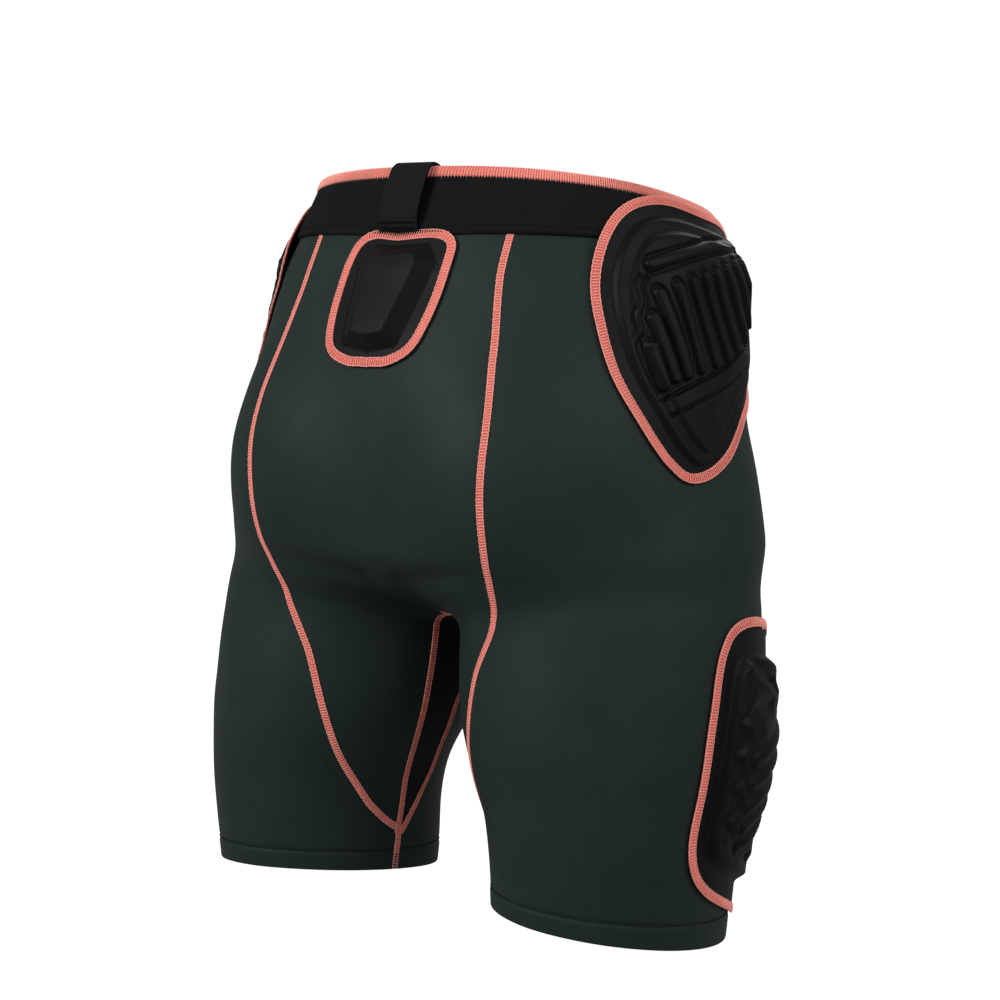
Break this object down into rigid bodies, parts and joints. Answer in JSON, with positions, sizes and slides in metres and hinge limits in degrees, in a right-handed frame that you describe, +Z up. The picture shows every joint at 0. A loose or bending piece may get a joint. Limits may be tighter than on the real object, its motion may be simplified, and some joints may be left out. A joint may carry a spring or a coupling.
{
  "type": "padded impact shorts",
  "caption": "Padded impact shorts: stretch shell, elastic waistband with belt loop, crotch gusset, and moulded foam pads over tailbone, hips and outer thighs; each leg swings at the hip.",
  "frame": {"origin": "middle of the waist opening, on the wearer's centre line", "axes": "+X to the wearer's left, +Y to the back, +Z up out of the waist"},
  "size_m": [0.424, 0.2615, 0.4812],
  "materials": {
    "shell_knit": "dark green-grey polyester-elastane warp knit, smooth face with a soft sheen",
    "gusset_knit": "near-black stretch knit, matt",
    "band_knit": "black double knit over elastic, matt",
    "elastic_web": "off-white woven elastic, hidden inside the waistband",
    "coral_thread": "coral textured polyester flatlock and overlock thread",
    "loop_webbing": "black plain-woven tape",
    "moulded_knit": "black knit bonded to the foam face and moulded with it, slight sheen",
    "pad_foam": "closed-cell EVA foam, dark grey, hidden under the pad cover"
  },
  "bodies": {
    "hips": {"back_panel_seat": "shell_knit", "gusset_crotch": "gusset_knit", "side_panel_hip_left": "shell_knit", "back_panel_bend_left": "shell_knit", "side_panel_bend_left": "shell_knit", "gusset_bend_left": "gusset_knit", "side_panel_hip_right": "shell_knit", "back_panel_bend_right": "shell_knit", "side_panel_bend_right": "shell_knit", "gusset_bend_right": "gusset_knit", "waistband_cover": "band_knit", "waistband_elastic": "elastic_web", "waistband_overlock": "coral_thread", "belt_loop": "loop_webbing", "tail_pad_foam": "pad_foam", "tail_pad_cover": "moulded_knit", "tail_pad_border": "coral_thread", "hip_pad_left_foam": "pad_foam", "hip_pad_left_cover": "moulded_knit", "hip_pad_left_border": "coral_thread", "hip_pad_right_foam": "pad_foam", "hip_pad_right_cover": "moulded_knit", "hip_pad_right_border": "coral_thread"},
    "left_leg": {"back_panel_leg_left": "shell_knit", "side_panel_leg_left": "shell_knit", "gusset_leg_left": "gusset_knit", "thigh_pad_left_foam": "pad_foam", "thigh_pad_left_cover": "moulded_knit", "thigh_pad_left_border": "coral_thread"},
    "right_leg": {"back_panel_leg_right": "shell_knit", "side_panel_leg_right": "shell_knit", "gusset_leg_right": "gusset_knit", "thigh_pad_right_foam": "pad_foam", "thigh_pad_right_cover": "moulded_knit", "thigh_pad_right_border": "coral_thread"}
  },
  "joints": [
    {"name": "left_leg_swing", "type": "hinge", "parent": "hips", "child": "left_leg", "pos_m": [0.098, 0.01, -0.18], "axis": [-1, 0, 0], "range_deg": [-15, 50], "deforming": ["back_panel_bend_left", "side_panel_bend_left", "gusset_bend_left"]},
    {"name": "right_leg_swing", "type": "hinge", "parent": "hips", "child": "right_leg", "pos_m": [-0.098, 0.01, -0.18], "axis": [-1, 0, 0], "range_deg": [-15, 50], "deforming": ["back_panel_bend_right", "side_panel_bend_right", "gusset_bend_right"]}
  ]
}
